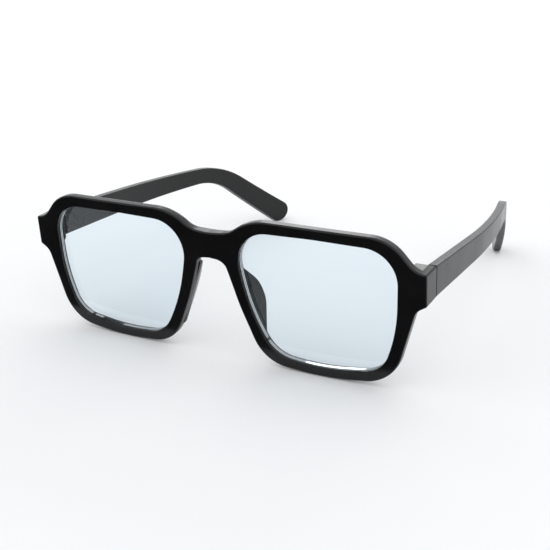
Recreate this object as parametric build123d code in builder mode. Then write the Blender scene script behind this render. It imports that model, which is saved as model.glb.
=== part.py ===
from build123d import *
import os
from math import asin, cos, radians, sin, sqrt

# Blue light glasses: a moulded front, two plano lenses, two bonded nose pads and two temples,
# each on a five-knuckle hinge with a slotted screw.
#
# Millimetres, +Z up, +X towards the wearer's left, the front faces -Y and the temples run to +Y.
# The glasses stand open on a table: the rims' lowest edges and the temple tips touch it.
# While the pieces are made, Y = 0 is the front face on the centre line and the height is measured
# along the front; at the end the whole assembly moves to the middle of its base.

# ---- The lens openings, seen from the front --------------------------------------------------
lens_opening_width = 53.5
lens_opening_height = 42.5
bridge_gap = 20.3            # between the two openings, where they come nearest
rim_bottom = 3.2             # height of the rim below an opening
rim_top = 4.0                # height of the rim above an opening
waist_share = 0.39           # height where an opening's sides bend, as a share of its height

# ---- The front -------------------------------------------------------------------------------
rim_depth = 3.8              # from the front face to the back face
face_form_radius = 1600.0    # the front wraps round the face a little
front_tilt = 2.8             # degrees that the top leans forward
endpiece_reach = 9.05        # from an opening to the side of the front
endpiece_height = 10.8
endpiece_width = 6.1         # thickness, side to side, of the part that turns back
endpiece_corner = 1.3        # round on the end piece's top and bottom rear corners
endpiece_side_round = 0.8    # round on its long outer edges
hinge_share = 0.74           # height of the hinge up the opening, as a share of the opening's height
butt_depth = 7.8             # from the front face to the joint with the temple
bridge_crown = 0.9           # how far the bridge bulges forward of the rims
bridge_crown_width = 12.8
bridge_crown_blend = 3.0     # radius that blends the crown into the rims
front_edge_round = 0.5
opening_edge_round = 0.35
back_edge_round = 1.4

# ---- The lenses ------------------------------------------------------------------------------
lens_thickness = 1.8
lens_radius = 300.0          # front surface of a plano lens
lens_recess = 0.35           # from the front face to the lens, at the lens's middle
bevel_height = 0.6           # tongue round the lens edge that sits in the groove
bevel_width = 0.8
lens_clearance = 0.05        # between the lens edge and the opening
groove_clearance = 0.03      # round the tongue

# ---- The nose pads ---------------------------------------------------------------------------
pad_length = 25.0            # along the nasal edge of the rim
pad_projection = 6.5         # behind the back of the rim
pad_start = 3.2              # from the top of the nose arch, along the edge
pad_rise = 0.33              # share of the length where the pad reaches its full projection
pad_fall = 0.58              # and where it starts to fall away
pad_crest_round = 9.0
pad_base_thickness = 3.0
pad_tip_thickness = 1.6
pad_splay = 2.4              # how far the pad leans away from the nose at its tip
pad_inset = 0.3              # from the rim's nasal wall to the pad
pad_end_height = 0.7         # of the pad at its two ends
pad_end_round = 1.0
pad_edge_round = 0.5

# ---- The temples -----------------------------------------------------------------------------
temple_thickness = 3.0
temple_depth_hinge = 10.2    # top to bottom, at the hinge
temple_depth_bend = 7.3
temple_depth_tip = 9.4
temple_shaft_length = 97.0   # from the joint to the bend behind the ear
temple_shaft_slope = 2.7     # degrees that the shaft runs downhill
temple_tip_length = 42.0     # from the bend to the centre of the rounded end
temple_bend_round_top = 46.0
temple_bend_round_bottom = 32.0
temple_straight_length = 37.0   # from the joint to where the temple starts to curve inwards
temple_curve_radius = 240.0
temple_edge_round = 0.6
temple_butt_round = 0.3      # on the two corners next to the end piece
tip_roundness = 0.48         # radius of the tip's corners, as a share of its depth
butt_gap = 0.2               # between the end piece and the open temple
core_depth = 1.4             # top to bottom of the flat wire in the temple
core_thickness = 1.0
core_end_margin = 8.0        # from the wire's end to the end of the temple
core_offset = 1.9            # from the temple's inner face to the middle of the wire

# ---- The hinges ------------------------------------------------------------------------------
barrel_radius = 1.25
knuckle_height = 1.2
knuckle_count = 5
knuckle_gap = 0.08
barrel_to_temple = 0.15      # clearance between the barrel and the temple's inner face
barrel_to_endpiece = 0.2
leaf_thickness = 1.0
leaf_height = 4.8
front_leaf_bury = 4.0        # how deep the front leaf is sunk into the end piece
front_leaf_rib = 1.8         # thickness of the rib that holds the front leaf in
temple_leaf_length = 12.0
screw_radius = 0.6
screw_head_radius = 1.0
screw_head_height = 0.55
screw_slot_width = 0.3
screw_slot_depth = 0.3
screw_clearance = 0.04       # radial, where the screw turns in a knuckle

# ---- Worked-out places -----------------------------------------------------------------------
nasal_edge = bridge_gap / 2
temporal_edge = nasal_edge + lens_opening_width
bottom_edge = rim_bottom
top_edge = rim_bottom + lens_opening_height
side = temporal_edge + endpiece_reach
tilt = radians(front_tilt)
waist = bottom_edge + waist_share * lens_opening_height
hinge_height = bottom_edge + hinge_share * lens_opening_height
endpiece_top = hinge_height + endpiece_height / 2
endpiece_bottom = hinge_height - endpiece_height / 2
lens_middle = (nasal_edge + lens_opening_width / 2, bottom_edge + lens_opening_height / 2)

# The front's own plane: x across, y up along the front, z forward out of the front face.
front_plane = Plane(origin=(0, 0, 0), x_dir=(1, 0, 0), z_dir=(0, -cos(tilt), -sin(tilt)))
# The same front seen from above: x across, y backwards.
plan_plane = Plane(origin=(0, 0, 0), x_dir=(1, 0, 0), z_dir=front_plane.y_dir)

temple_inner = side - temple_thickness
temple_start = butt_depth + butt_gap
hinge_x = temple_inner - barrel_to_temple - barrel_radius
hinge_y = butt_depth + barrel_to_endpiece + barrel_radius
hinge_z = hinge_height * cos(tilt) + butt_depth * sin(tilt)
barrel_height = knuckle_count * knuckle_height + (knuckle_count - 1) * knuckle_gap
knuckle_bottoms = [
    hinge_z - barrel_height / 2 + i * (knuckle_height + knuckle_gap) for i in range(knuckle_count)
]


def sagitta(x, radius):
    """How far a circle of this radius falls away at x from its top."""
    return radius - sqrt(radius**2 - x**2)


def lens_corners():
    """Corners of the wearer's left lens opening, as (x, y, radius that rounds the corner)."""
    width = lens_opening_width
    height = lens_opening_height
    return [
        (nasal_edge - 2.5, top_edge - 0.1, 0.26 * height),         # top, nasal
        (nasal_edge + 2.9, waist, 1.6 * height),                   # the nasal side leans outwards
        (nasal_edge + 11.0, bottom_edge + 1.1, 0.28 * height),     # bottom, nasal
        (nasal_edge + 0.52 * width, bottom_edge - 0.6, 1.46 * width),    # the bottom is slightly bowed
        (temporal_edge - 5.2, bottom_edge + 2.1, 0.23 * height),   # bottom, temporal
        (temporal_edge - 0.3, waist, 1.3 * height),
        (temporal_edge + 0.3, top_edge - 0.2, 0.255 * height),     # top, temporal
        (nasal_edge + 0.49 * width, top_edge + 0.4, 3.0 * width),  # the top is slightly bowed
    ]


# Three corners of the front that the nose pads follow.
arch_corner = Vector(nasal_edge - 5.3, top_edge - 10.9)
nasal_corner = Vector(nasal_edge - 0.5, waist)
bottom_corner = Vector(nasal_edge + 7.3, 1.2)
nasal_round = 1.44 * lens_opening_height


def front_top_corners():
    """Corners of the left half of the front's top, from the centre line to the end piece."""
    height = lens_opening_height
    return [
        (0, top_edge - 1.6, 0),
        (nasal_edge - 3.1, top_edge - 1.4, 8.0),                   # bridge meets the brow
        (nasal_edge + 4.5, top_edge + rim_top, 0.45 * height),     # brow, nasal
        (temporal_edge - 2.6, top_edge + rim_top - 0.4, 0.31 * height),
        (side - 3.8, endpiece_top + 0.1, 7.6),                     # brow runs down into the end piece
        (side, endpiece_top - 0.4, 0),
    ]


def front_bottom_corners():
    """Corners of the left half of the front's lower edge, from the end piece to the nose arch."""
    height = lens_opening_height
    return [
        (side, endpiece_bottom + 0.3, 0),
        (side - 3.4, endpiece_bottom - 1.8, 4.6),                  # end piece meets the rim
        (side - 5.6, waist, 40.0),
        (temporal_edge - 1.5, bottom_edge - 1.0, 0.33 * height),   # bottom, temporal
        (nasal_edge + 29.8, -0.45, 90.0),
        (bottom_corner.X, bottom_corner.Y, 0.32 * height),
        (nasal_corner.X, nasal_corner.Y, nasal_round),
        (arch_corner.X, arch_corner.Y, 4.2),                       # nose arch
        (0, top_edge - 10.3, 0),
    ]


def front_outline():
    """The whole front's face, both halves, without the lens openings."""
    with BuildSketch() as outline:
        with BuildLine():
            ends = []
            for corners in (front_top_corners(), front_bottom_corners()):
                FilletPolyline(
                    [(x, y) for x, y, radius in corners],
                    radius=[radius for x, y, radius in corners[1:-1]],
                )
                ends += [corners[0][:2], corners[-1][:2]]
            Line(ends[1], ends[2])
            mirror(about=Plane.YZ)
        make_face()
    return outline.sketch


def lens_outline(outset=0.0):
    """The opening's face, made larger all round by outset."""
    with BuildSketch() as outline:
        with BuildLine():
            FilletPolyline(
                [(x, y) for x, y, radius in lens_corners()],
                radius=[radius for x, y, radius in lens_corners()],
                close=True,
            )
        make_face()
        if outset:
            offset(amount=outset, kind=Kind.ARC, mode=Mode.REPLACE)
    return outline.sketch


def border_edges(faces):
    """The edges round a patch of faces, without the edges that two of the faces share."""
    edges = [edge for face in faces for edge in face.edges()]
    return [edge for edge in edges if sum(edge.is_same(other) for other in edges) == 1]


def looking(faces, direction):
    """The faces that look within about 25 degrees of a direction."""
    return [face for face in faces if face.normal_at().dot(direction) > 0.9]


def keep_pair(piece, name):
    """Keep a piece made on the wearer's left, and its mirror image for the right."""
    with BuildPart() as mirrored:
        mirror(piece.part, about=Plane.YZ)
    finished[f"{name}_left"] = piece.part
    finished[f"{name}_right"] = mirrored.part


finished = {}

# ---- Lenses, and the groove that holds them --------------------------------------------------
lens_turn = lens_middle[0] / face_form_radius
lens_surface_depth = sagitta(lens_middle[0], face_form_radius) + lens_recess
lens_centre = (
    lens_middle[0] - lens_radius * sin(lens_turn),
    lens_middle[1],
    -lens_surface_depth - lens_radius * cos(lens_turn),
)
cut_depth = 30.0             # longer than anything that is cut through the front


def spherical_slice(outset, front_inset, back_inset):
    """The opening's outline between two spheres that share the lens surface's centre."""
    centre = front_plane.location * Location(lens_centre)
    with BuildPart() as slice_part:
        with BuildSketch(front_plane):
            add(lens_outline(outset))
        extrude(amount=-cut_depth)
        with Locations(centre):
            # turned, so that a sphere's poles are far from the lens
            Sphere(lens_radius - front_inset, rotation=(90, 0, 0), mode=Mode.INTERSECT)
            Sphere(lens_radius - back_inset, rotation=(90, 0, 0), mode=Mode.SUBTRACT)
    return slice_part.part


bevel_front = (lens_thickness - bevel_width) / 2
bevel_back = bevel_front + bevel_width

with BuildPart() as lens:
    add(spherical_slice(-lens_clearance, 0, lens_thickness))
    add(spherical_slice(bevel_height - groove_clearance, bevel_front, bevel_back))
keep_pair(lens, "lens")

# ---- Hinge leaves and screw ------------------------------------------------------------------
with BuildPart() as hinge_front_leaf:
    for bottom in knuckle_bottoms[0::2]:
        with BuildSketch(Plane.XY.offset(bottom)):
            with Locations((hinge_x, hinge_y)):
                Circle(barrel_radius)
            with Locations((hinge_x, (hinge_y + butt_depth) / 2)):
                Rectangle(leaf_thickness, hinge_y - butt_depth)
            with Locations((hinge_x, hinge_y)):
                Circle(screw_radius, mode=Mode.SUBTRACT)
        extrude(amount=knuckle_height)
    with BuildSketch(Plane.XY.offset(hinge_z - barrel_height / 2)):
        with Locations((hinge_x, butt_depth)):
            Rectangle(leaf_thickness, front_leaf_bury, align=(Align.CENTER, Align.MAX))
        with Locations((hinge_x, butt_depth - front_leaf_bury)):
            Rectangle(front_leaf_rib, leaf_thickness, align=(Align.CENTER, Align.MIN))
    extrude(amount=barrel_height)
    with BuildSketch(Plane.XY.offset(knuckle_bottoms[2])):
        with Locations((hinge_x, hinge_y)):
            Circle(screw_radius + screw_clearance)
    extrude(amount=barrel_height, mode=Mode.SUBTRACT)
    with BuildSketch(Plane.XY.offset(knuckle_bottoms[-1] + knuckle_height)):
        with Locations((hinge_x, hinge_y)):
            Circle(screw_head_radius)
    extrude(amount=-screw_head_height, mode=Mode.SUBTRACT)
keep_pair(hinge_front_leaf, "hinge_front_leaf")

leaf_start = hinge_y + barrel_radius
with BuildPart() as hinge_temple_leaf:
    for bottom in knuckle_bottoms[1::2]:
        with BuildSketch(Plane.XY.offset(bottom)):
            with Locations((hinge_x, hinge_y)):
                Circle(barrel_radius)
            with BuildLine():
                Polyline(
                    (hinge_x, hinge_y),
                    (temple_inner + leaf_thickness, hinge_y + leaf_thickness),
                    (temple_inner + leaf_thickness, leaf_start + leaf_thickness),
                    (temple_inner, leaf_start + leaf_thickness),
                    (hinge_x, leaf_start),
                    close=True,
                )
            make_face()
            with Locations((hinge_x, hinge_y)):
                Circle(screw_radius + screw_clearance, mode=Mode.SUBTRACT)
        extrude(amount=knuckle_height)
    with BuildSketch(Plane.XY.offset(hinge_z - leaf_height / 2)):
        with Locations((temple_inner, leaf_start)):
            Rectangle(leaf_thickness, temple_leaf_length, align=Align.MIN)
    extrude(amount=leaf_height)
keep_pair(hinge_temple_leaf, "hinge_temple_leaf")

screw_top = knuckle_bottoms[-1] + knuckle_height
with BuildPart() as hinge_screw:
    with BuildSketch(Plane.XY.offset(knuckle_bottoms[0])):
        with Locations((hinge_x, hinge_y)):
            Circle(screw_radius)
    extrude(amount=screw_top - knuckle_bottoms[0] - screw_head_height)
    with BuildSketch(Plane.XY.offset(screw_top - screw_head_height)):
        with Locations((hinge_x, hinge_y)):
            Circle(screw_head_radius)
    extrude(amount=screw_head_height)
    with BuildSketch(Plane.XY.offset(screw_top)):
        with Locations((hinge_x, hinge_y)):
            Rectangle(2 * screw_head_radius, screw_slot_width)
    extrude(amount=-screw_slot_depth, mode=Mode.SUBTRACT)
keep_pair(hinge_screw, "hinge_screw")

# ---- Front -----------------------------------------------------------------------------------
half_crown = bridge_crown_width / 2
side_sagitta = sagitta(side, face_form_radius)
crown_sagitta = sagitta(half_crown, face_form_radius)
endpiece_middle = side - endpiece_width / 2

with BuildSketch() as endpiece_faces:
    with Locations((endpiece_middle, hinge_height), (-endpiece_middle, hinge_height)):
        Rectangle(endpiece_width, endpiece_height)

with BuildPart() as frame_front:
    # the outline, as a deep block, cut to the bowed slab that the front is seen from above
    with BuildSketch(front_plane):
        add(front_outline())
    extrude(amount=cut_depth, both=True)
    with BuildSketch(plan_plane) as slab:
        with BuildLine():
            ThreePointArc((-half_crown, crown_sagitta), (0, -bridge_crown), (half_crown, crown_sagitta))
            front_arc = ThreePointArc(
                (half_crown, crown_sagitta),
                ((half_crown + side) / 2, sagitta((half_crown + side) / 2, face_form_radius)),
                (side, side_sagitta),
            )
            Line((side, side_sagitta), (side, side_sagitta + rim_depth))
            ThreePointArc(
                (side, side_sagitta + rim_depth), (0, rim_depth), (-side, side_sagitta + rim_depth)
            )
            Line((-side, side_sagitta + rim_depth), (-side, side_sagitta))
            mirror(front_arc, about=Plane.YZ)
        make_face()
        creases = [v for v in slab.vertices() if abs(abs(v.X) - half_crown) < 0.01]
        fillet(creases, radius=bridge_crown_blend)
    extrude(amount=2 * top_edge, both=True, mode=Mode.INTERSECT)

    # the back edges, rounded from one end piece to the other
    back_edges = border_edges(looking(frame_front.faces(), -front_plane.z_dir))
    fillet([edge for edge in back_edges if abs(edge.center().X) < side - 0.01], radius=back_edge_round)

    # the end pieces turn back to the joint with the temples
    with BuildSketch(front_plane.offset(-side_sagitta - front_edge_round)):
        add(front_outline())
        add(endpiece_faces.sketch, mode=Mode.INTERSECT)
    extrude(amount=-butt_depth)
    split(bisect_by=Plane.XZ.offset(-butt_depth), keep=Keep.TOP)
    rear_corners = frame_front.edges().filter_by(Axis.X).group_by(Axis.Y)[-1]
    fillet(rear_corners, radius=endpiece_corner)
    side_edges = frame_front.edges().filter_by(Axis((0, 0, 0), front_plane.z_dir))
    side_edges = [edge for edge in side_edges if abs(edge.center().X) > side - 0.01]
    fillet(side_edges, radius=endpiece_side_round)
    fillet(border_edges(looking(frame_front.faces(), front_plane.z_dir)), radius=front_edge_round)

    # the lens openings, each with its groove
    with BuildSketch(front_plane):
        add(lens_outline())
        mirror(about=Plane.YZ)
    extrude(amount=-cut_depth, mode=Mode.SUBTRACT)
    front_face = frame_front.faces().filter_by(
        lambda face: face.normal_at().dot(front_plane.z_dir) > 0.9
    ).sort_by(SortBy.AREA)[-1]
    fillet([edge for wire in front_face.inner_wires() for edge in wire.edges()], radius=opening_edge_round)
    groove = spherical_slice(bevel_height, bevel_front - groove_clearance, bevel_back + groove_clearance)
    add(groove, mode=Mode.SUBTRACT)
    mirror(groove, about=Plane.YZ, mode=Mode.SUBTRACT)

    # the slots that the hinge leaves are sunk into
    for leaf in (finished["hinge_front_leaf_left"], finished["hinge_front_leaf_right"]):
        add(leaf, mode=Mode.SUBTRACT)
finished["frame_front"] = frame_front.part
table_height = frame_front.part.bounding_box().min.Z

# ---- Nose pads -------------------------------------------------------------------------------
# A pad is a half-moon seen from the side and a leaning fin seen along the rim's nasal wall. Its
# underside reaches into the rim, deepest at the nasal wall, where the rim's back edge is rounded.
nose_direction = (bottom_corner - arch_corner).normalized()
pad_top = nasal_corner - nose_direction * ((nasal_corner - arch_corner).length - pad_start)
pad_x = front_plane.x_dir * nose_direction.X + front_plane.y_dir * nose_direction.Y
pad_across = front_plane.z_dir.cross(pad_x)
pad_place = front_plane.from_local_coords(Vector(pad_top.X, pad_top.Y, -rim_depth))
moon_plane = Plane(origin=pad_place, x_dir=pad_x, z_dir=pad_across)    # its y points backwards
fin_plane = Plane(origin=pad_place, x_dir=pad_across, z_dir=-pad_x)    # and so does this one's

with BuildPart() as nose_pad:
    with BuildSketch(moon_plane):
        with BuildLine():
            FilletPolyline(
                (0, -back_edge_round),
                (0, pad_end_height),
                (pad_rise * pad_length, pad_projection),
                (pad_fall * pad_length, pad_projection),
                (pad_length, pad_end_height),
                (pad_length, -back_edge_round),
                radius=[pad_end_round, pad_crest_round, pad_crest_round, pad_end_round],
            )
            Line((pad_length, -back_edge_round), (0, -back_edge_round))
        make_face()
    extrude(amount=pad_length, both=True)
    with BuildSketch(fin_plane):
        with BuildLine():
            Polyline(
                (pad_inset, -back_edge_round),
                (pad_inset, 0),
                (pad_inset + pad_splay, pad_projection),
                (pad_inset + pad_splay + pad_tip_thickness, pad_projection),
                (pad_inset + pad_base_thickness, 0),
                close=True,
            )
        make_face()
    extrude(amount=2 * pad_length, both=True, mode=Mode.INTERSECT)
    crest = [
        edge
        for edge in border_edges(looking(nose_pad.faces(), -pad_across))
        if front_plane.to_local_coords(edge.center()).Z < -rim_depth - 0.01
    ]
    fillet(crest, radius=pad_edge_round)
    add(frame_front.part, mode=Mode.SUBTRACT)
keep_pair(nose_pad, "nose_pad")

# ---- Temples ---------------------------------------------------------------------------------
# A temple is its side view cut by its plan view: the tip's rounded end comes down to the table.
hinge_end = Vector(temple_start, hinge_z)
bend = hinge_end + Vector(temple_shaft_length, 0).rotate(Axis.Z, -temple_shaft_slope)
tip_radius = temple_depth_tip / 2
tip_angle = asin((bend.Y - table_height - tip_radius) / temple_tip_length)
tip_direction = Vector(cos(tip_angle), -sin(tip_angle))
tip_centre = bend + tip_direction * temple_tip_length
shaft_up = Vector(0, 1)
tip_up = Vector(sin(tip_angle), cos(tip_angle))
temple_end = tip_centre.X + tip_radius


def temple_side_view(depth_hinge, depth_bend, depth_tip, end):
    """The temple's side view, or a thinner one on the same centre line: x backwards, y up."""
    corners = [
        (hinge_end - shaft_up * depth_hinge / 2, temple_butt_round),
        (hinge_end + shaft_up * depth_hinge / 2, temple_butt_round),
        (bend + tip_up * depth_bend / 2, temple_bend_round_top),
        (end + tip_up * depth_tip / 2, tip_roundness * depth_tip),
        (end - tip_up * depth_tip / 2, tip_roundness * depth_tip),
        (bend - tip_up * depth_bend / 2, temple_bend_round_bottom),
    ]
    with BuildSketch() as view:
        with BuildLine():
            Polyline([corner for corner, radius in corners], close=True)
        make_face()
        for corner, radius in corners:
            fillet(view.vertices().sort_by_distance(corner)[0], radius=radius)
    return view.sketch


def temple_plan_view(inner_inset, thickness):
    """A band that follows the temple's inner face, seen from above: x across, y backwards."""
    inner = temple_inner + inner_inset
    curve_start = temple_start + temple_straight_length
    band_end = temple_end + tip_radius
    swing = asin((band_end - curve_start) / temple_curve_radius)

    def edge(x):
        radius = temple_curve_radius + x - temple_inner
        centre_x = temple_inner - temple_curve_radius
        return (centre_x + radius * cos(swing / 2), curve_start + radius * sin(swing / 2)), (
            centre_x + radius * cos(swing),
            curve_start + radius * sin(swing),
        )

    with BuildSketch() as view:
        with BuildLine():
            ends = []
            for x in (inner, inner + thickness):
                middle, end = edge(x)
                Line((x, temple_start), (x, curve_start))
                ThreePointArc((x, curve_start), middle, end)
                ends.append(end)
            Line((inner, temple_start), (inner + thickness, temple_start))
            Line(*ends)
        make_face()
    return view.sketch


core_end = tip_centre - tip_direction * (core_end_margin - tip_radius)
with BuildPart() as temple_core:
    with BuildSketch(Plane.YZ):
        add(temple_side_view(core_depth, core_depth, core_depth, core_end))
    extrude(amount=2 * side)
    with BuildSketch(Plane.XY):
        add(temple_plan_view(core_offset - core_thickness / 2, core_thickness))
    extrude(amount=2 * top_edge, both=True, mode=Mode.INTERSECT)
keep_pair(temple_core, "temple_core")

with BuildPart() as temple:
    with BuildSketch(Plane.YZ):
        add(
            temple_side_view(
                temple_depth_hinge, temple_depth_bend, temple_depth_tip, tip_centre + tip_direction * tip_radius
            )
        )
    extrude(amount=2 * side)
    with BuildSketch(Plane.XY):
        add(temple_plan_view(0, temple_thickness))
    extrude(amount=2 * top_edge, both=True, mode=Mode.INTERSECT)
    outer_faces = [face for face in temple.faces() if face.normal_at().X > 0.8]
    inner_faces = [face for face in temple.faces() if face.normal_at().X < -0.8]
    long_edges = border_edges(outer_faces) + border_edges(inner_faces)
    long_edges = [edge for edge in long_edges if edge.center().Y > temple_start + 0.01]
    fillet(long_edges, radius=temple_edge_round)
    add(temple_core.part, mode=Mode.SUBTRACT)
    add(hinge_temple_leaf.part, mode=Mode.SUBTRACT)
keep_pair(temple, "temple")

# ---- The whole assembly, moved to the middle of its base -------------------------------------
boxes = [piece.bounding_box() for piece in finished.values()]
front_most = min(box.min.Y for box in boxes)
rear_most = max(box.max.Y for box in boxes)
lowest = min(box.min.Z for box in boxes)
shift = Vector(0, -(front_most + rear_most) / 2, -lowest)

os.makedirs("parts", exist_ok=True)
for name, piece in finished.items():
    placed = piece.moved(Location(shift))
    placed.label = name
    export_step(placed, f"parts/{name}.step")

hinge = Vector(hinge_x, hinge_y, hinge_z) + shift
print(f"hinge axis at X +-{hinge.X:.3f}, Y {hinge.Y:.3f}, Z {hinge.Z:.3f}")
print(f"shift {shift.X:.3f}, {shift.Y:.3f}, {shift.Z:.3f}")
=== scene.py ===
import math

import bpy
from mathutils import Matrix, Vector


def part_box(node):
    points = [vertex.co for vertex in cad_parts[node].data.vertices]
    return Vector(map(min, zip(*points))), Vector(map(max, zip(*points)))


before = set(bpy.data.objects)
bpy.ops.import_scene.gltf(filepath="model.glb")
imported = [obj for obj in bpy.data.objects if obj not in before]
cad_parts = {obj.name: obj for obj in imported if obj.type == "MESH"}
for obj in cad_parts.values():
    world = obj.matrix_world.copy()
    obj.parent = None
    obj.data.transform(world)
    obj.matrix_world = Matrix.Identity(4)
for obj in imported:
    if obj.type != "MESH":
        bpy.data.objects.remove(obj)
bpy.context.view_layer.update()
MM = 0.001

# ---- Camera ------------------------------------------------------------------------------------
# It stands in front of the glasses on the wearer's left and looks slightly down.
CAMERA_AZIMUTH = math.radians(29.3)
CAMERA_ELEVATION = math.radians(20.82)
CAMERA_ROLL = math.radians(-1.86)
CAMERA_DISTANCE = 337.7 * MM
CAMERA_LENS = 65.9                        # mm, on a sensor of SENSOR_WIDTH
SENSOR_WIDTH = 36.0                       # mm
CAMERA_NEAR = 10 * MM                     # nothing nearer than this is drawn
AIM_ACROSS = 12.0 * MM                    # the point it looks at: from the centre line,
AIM_BACK = 22.0 * MM                      # behind the front's foremost point,
AIM_UP = 23.9 * MM                        # and above the table

# ---- Studio ------------------------------------------------------------------------------------
SKY_COLOR = (0.97, 0.985, 1.0)
SKY_STRENGTH = 1.08
FLOOR_HALF_WIDTH = 6.0
FLOOR_DROP = 0.1 * MM                     # how far the floor lies below the lowest points
FLOOR_WHITE = 0.9
# A black card lies in front of the glasses, and shows only in what they reflect.
CARD_LOW = (-0.6, -0.6)
CARD_HIGH = (0.12, -0.078)
CARD_HEIGHT = 0.5 * MM
CARD_BLACK = 0.01
# A long, low lamp behind the glasses draws the bright edge along their top.
LAMP_PLACE = (-0.3, 1.5, 0.75)
LAMP_SIZE = (1.4, 0.3)
LAMP_POWER = 4.2                          # watts

# ---- Materials ---------------------------------------------------------------------------------
NOISE_DETAIL = 3.0
NOISE_LOW, NOISE_HIGH = 0.3, 0.7          # nearly all of the noise lies between these
# Scales are in features per metre, and colours are linear.
PLASTIC_DARK = (0.0035, 0.0035, 0.004)
PLASTIC_LIGHT = (0.006, 0.006, 0.0065)
PLASTIC_IOR = 1.49
PLASTIC_SPECULAR = 0.35
LENS_DEEP = (0.84, 0.925, 0.98)
LENS_PALE = (0.86, 0.935, 0.985)
LENS_IOR = 1.5
WIRE_DARK, WIRE_LIGHT = (0.5, 0.5, 0.52), (0.62, 0.62, 0.64)
SCREW_DARK, SCREW_LIGHT = (0.6, 0.6, 0.62), (0.75, 0.75, 0.77)
HINGE_DARK, HINGE_LIGHT = (0.03, 0.03, 0.032), (0.05, 0.05, 0.054)


def add_camera():
    front_low, front_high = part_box("frame_front")
    aim = Vector((AIM_ACROSS, front_low.y + AIM_BACK, AIM_UP))
    backwards = Vector((
        math.sin(CAMERA_AZIMUTH) * math.cos(CAMERA_ELEVATION),
        -math.cos(CAMERA_AZIMUTH) * math.cos(CAMERA_ELEVATION),
        math.sin(CAMERA_ELEVATION),
    ))
    right = Vector((0, 0, 1)).cross(backwards).normalized()
    up = backwards.cross(right)
    rolled_right = right * math.cos(CAMERA_ROLL) + up * math.sin(CAMERA_ROLL)
    rolled_up = up * math.cos(CAMERA_ROLL) - right * math.sin(CAMERA_ROLL)
    camera = bpy.data.objects.new("camera", bpy.data.cameras.new("camera"))
    bpy.context.scene.collection.objects.link(camera)
    axes = Matrix((rolled_right, rolled_up, backwards)).transposed()
    camera.matrix_world = Matrix.Translation(aim + backwards * CAMERA_DISTANCE) @ axes.to_4x4()
    camera.data.lens = CAMERA_LENS
    camera.data.sensor_width = SENSOR_WIDTH
    camera.data.clip_start = CAMERA_NEAR
    bpy.context.scene.camera = camera


def new_material(name):
    material = bpy.data.materials.new(name)
    material.use_nodes = True
    return material, material.node_tree.nodes["Principled BSDF"]


def add_flat(name, low, high, height, gray):
    """A flat, matt rectangle of the studio, lying level."""
    mesh = bpy.data.meshes.new(name)
    corners = [(low[0], low[1]), (high[0], low[1]), (high[0], high[1]), (low[0], high[1])]
    mesh.from_pydata([(x, y, height) for x, y in corners], [], [(0, 1, 2, 3)])
    flat = bpy.data.objects.new(name, mesh)
    bpy.context.scene.collection.objects.link(flat)
    material, shader = new_material(name)
    shader.inputs["Base Color"].default_value = (gray, gray, gray, 1)
    shader.inputs["Roughness"].default_value = 0.9
    shader.inputs["Specular IOR Level"].default_value = 0.1
    mesh.materials.append(material)
    return flat


def add_lamp(name, where, aim, size, power):
    lamp = bpy.data.objects.new(name, bpy.data.lights.new(name, "AREA"))
    bpy.context.scene.collection.objects.link(lamp)
    lamp.data.shape = "RECTANGLE"
    lamp.data.size, lamp.data.size_y = size
    lamp.data.energy = power
    lamp.location = where
    lamp.rotation_euler = (Vector(aim) - Vector(where)).to_track_quat("-Z", "Y").to_euler()


def add_studio():
    world = bpy.data.worlds.new("studio")
    world.use_nodes = True
    sky = world.node_tree.nodes["Background"]
    sky.inputs["Color"].default_value = (*SKY_COLOR, 1)
    sky.inputs["Strength"].default_value = SKY_STRENGTH
    bpy.context.scene.world = world
    bpy.context.scene.view_settings.view_transform = "Standard"

    floor_high = (FLOOR_HALF_WIDTH, FLOOR_HALF_WIDTH)
    floor_low = (-FLOOR_HALF_WIDTH, -FLOOR_HALF_WIDTH)
    add_flat("floor", floor_low, floor_high, -FLOOR_DROP, FLOOR_WHITE)
    card = add_flat("black_card", CARD_LOW, CARD_HIGH, CARD_HEIGHT, CARD_BLACK)
    card.visible_camera = False
    card.visible_diffuse = False
    card.visible_transmission = False
    card.visible_shadow = False
    add_lamp("behind", LAMP_PLACE, (0, 0, 0), LAMP_SIZE, LAMP_POWER)


def noise(tree, scale):
    """Noise that stays with the piece."""
    coordinates = tree.nodes.new("ShaderNodeTexCoord")
    texture = tree.nodes.new("ShaderNodeTexNoise")
    texture.inputs["Scale"].default_value = scale
    texture.inputs["Detail"].default_value = NOISE_DETAIL
    tree.links.new(coordinates.outputs["Object"], texture.inputs["Vector"])
    return texture.outputs["Fac"]


def spread(tree, value, low, high):
    """Maps noise onto low to high."""
    ranged = tree.nodes.new("ShaderNodeMapRange")
    ranged.inputs["From Min"].default_value = NOISE_LOW
    ranged.inputs["From Max"].default_value = NOISE_HIGH
    ranged.inputs["To Min"].default_value = low
    ranged.inputs["To Max"].default_value = high
    tree.links.new(value, ranged.inputs["Value"])
    return ranged.outputs["Result"]


def vary_color(material, shader, scale, dark, light):
    tree = material.node_tree
    ramp = tree.nodes.new("ShaderNodeValToRGB")
    ramp.color_ramp.elements[0].color = (*dark, 1)
    ramp.color_ramp.elements[1].color = (*light, 1)
    tree.links.new(spread(tree, noise(tree, scale), 0, 1), ramp.inputs["Fac"])
    tree.links.new(ramp.outputs["Color"], shader.inputs["Base Color"])


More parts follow.
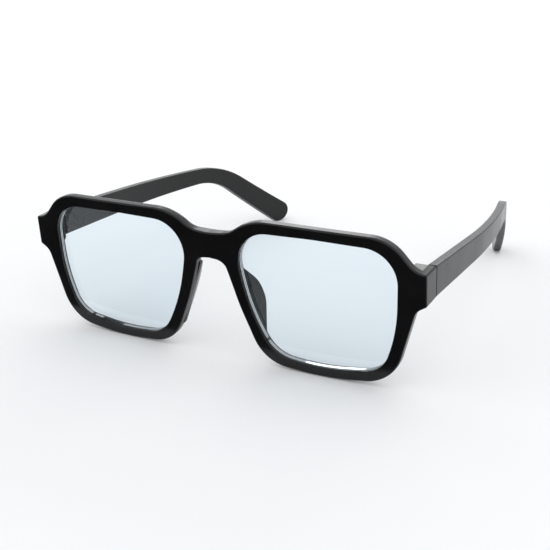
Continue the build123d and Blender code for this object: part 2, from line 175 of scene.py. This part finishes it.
def vary_roughness(material, shader, scale, low, high):
    tree = material.node_tree
    tree.links.new(spread(tree, noise(tree, scale), low, high), shader.inputs["Roughness"])


def add_bump(material, shader, scale, height, strength):
    tree = material.node_tree
    bump = tree.nodes.new("ShaderNodeBump")
    bump.inputs["Strength"].default_value = strength
    bump.inputs["Distance"].default_value = height
    tree.links.new(noise(tree, scale), bump.inputs["Height"])
    tree.links.new(bump.outputs["Normal"], shader.inputs["Normal"])


def black_plastic(name, roughness):
    material, shader = new_material(name)
    vary_color(material, shader, 60, PLASTIC_DARK, PLASTIC_LIGHT)
    vary_roughness(material, shader, 90, roughness * 0.8, roughness * 1.2)
    add_bump(material, shader, 120, 0.02 * MM, 0.04)
    shader.inputs["IOR"].default_value = PLASTIC_IOR
    shader.inputs["Specular IOR Level"].default_value = PLASTIC_SPECULAR
    return material


def lens_plastic(name):
    material, shader = new_material(name)
    vary_color(material, shader, 25, LENS_DEEP, LENS_PALE)
    vary_roughness(material, shader, 40, 0.0, 0.015)
    shader.inputs["Transmission Weight"].default_value = 1.0
    shader.inputs["IOR"].default_value = LENS_IOR
    return material


def satin_metal(name, dark, light, roughness):
    material, shader = new_material(name)
    vary_color(material, shader, 300, dark, light)
    vary_roughness(material, shader, 800, roughness * 0.7, roughness * 1.3)
    add_bump(material, shader, 2500, 0.01 * MM, 0.3)
    shader.inputs["Metallic"].default_value = 1.0
    return material


add_camera()
add_studio()

# The first of these that a node's name starts with gives its material.
looks = {
    "frame_front": black_plastic("frame_black", 0.2),
    "nose_pad": black_plastic("pad_black", 0.3),
    "temple_core": satin_metal("core_wire", WIRE_DARK, WIRE_LIGHT, 0.35),
    "temple": black_plastic("temple_black", 0.24),
    "lens": lens_plastic("lens_blue"),
    "hinge_screw": satin_metal("screw_steel", SCREW_DARK, SCREW_LIGHT, 0.15),
    "hinge": satin_metal("hinge_black", HINGE_DARK, HINGE_LIGHT, 0.35),
}
for node_name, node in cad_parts.items():
    look = next(material for start, material in looks.items() if node_name.startswith(start))
    node.data.materials.clear()
    node.data.materials.append(look)
